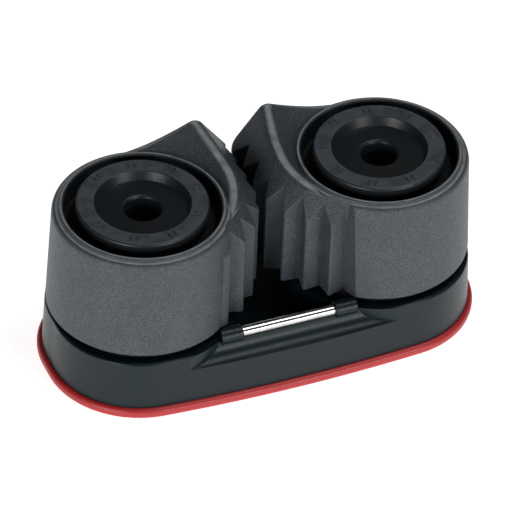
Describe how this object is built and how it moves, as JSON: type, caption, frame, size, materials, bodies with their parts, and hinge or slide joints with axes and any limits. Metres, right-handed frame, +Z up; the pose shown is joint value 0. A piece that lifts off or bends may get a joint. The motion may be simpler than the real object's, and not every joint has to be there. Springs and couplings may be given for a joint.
{
  "type": "cam cleat",
  "caption": "Jam cleat for a boat's line: two sprung, toothed cams on ball bearings over a low base with a steel wear pin and a coloured trim plate.",
  "frame": {"origin": "middle of the underside, halfway between the two screw holes", "axes": "+X from the left cam to the right cam, +Y toward the hand side, +Z up from the deck"},
  "size_m": [0.0678, 0.0326, 0.0313],
  "materials": {
    "cam_plastic": "fine moulded texture",
    "base_plastic": "satin, moulded",
    "hub_plastic": "satin, moulded",
    "bearing_plastic": "matte",
    "ball_polymer": "polished",
    "trim_red": "satin, moulded",
    "stainless": "polished",
    "spring_steel": "drawn wire"
  },
  "bodies": {
    "base_body": {"base": "base_plastic", "trim_plate": "trim_red", "wear_pin": "stainless", "hub_left": "hub_plastic", "bearing_cap_left": "hub_plastic", "ball_shelf_left": "bearing_plastic", "thrust_washer_left": "bearing_plastic", "torsion_spring_left": "spring_steel", "retaining_clip_left": "spring_steel", "hub_right": "hub_plastic", "bearing_cap_right": "hub_plastic", "ball_shelf_right": "bearing_plastic", "thrust_washer_right": "bearing_plastic", "torsion_spring_right": "spring_steel", "retaining_clip_right": "spring_steel"},
    "cam_left_body": {"cam_left": "cam_plastic"},
    "balls_left_body": {"ball_row_lower_left": "ball_polymer", "ball_row_middle_left": "ball_polymer", "ball_row_upper_left": "ball_polymer", "ball_spacer_lower_left": "bearing_plastic", "ball_spacer_middle_left": "bearing_plastic"},
    "cam_right_body": {"cam_right": "cam_plastic"},
    "balls_right_body": {"ball_row_lower_right": "ball_polymer", "ball_row_middle_right": "ball_polymer", "ball_row_upper_right": "ball_polymer", "ball_spacer_lower_right": "bearing_plastic", "ball_spacer_middle_right": "bearing_plastic"}
  },
  "joints": [
    {"name": "cam_left_pivot", "type": "hinge", "parent": "base_body", "child": "cam_left_body", "pos_m": [-0.019, 0, 0.02], "axis": [0, 0, 1], "range_deg": [0, 50], "stiffness_Nm_per_rad": 0.05, "springref_deg": -28.65, "deforming": ["torsion_spring_left"]},
    {"name": "balls_left_spin", "type": "hinge", "parent": "base_body", "child": "balls_left_body", "pos_m": [-0.019, 0, 0.02], "axis": [0, 0, 1], "range_deg": [0, 29]},
    {"name": "cam_right_pivot", "type": "hinge", "parent": "base_body", "child": "cam_right_body", "pos_m": [0.019, 0, 0.02], "axis": [0, 0, -1], "range_deg": [0, 50], "stiffness_Nm_per_rad": 0.05, "springref_deg": -28.65, "deforming": ["torsion_spring_right"]},
    {"name": "balls_right_spin", "type": "hinge", "parent": "base_body", "child": "balls_right_body", "pos_m": [0.019, 0, 0.02], "axis": [0, 0, -1], "range_deg": [0, 29]}
  ],
  "couplings": [
    {"joint": "balls_left_spin", "follows": "cam_left_pivot", "ratio": 0.5708},
    {"joint": "balls_right_spin", "follows": "cam_right_pivot", "ratio": 0.5708}
  ]
}
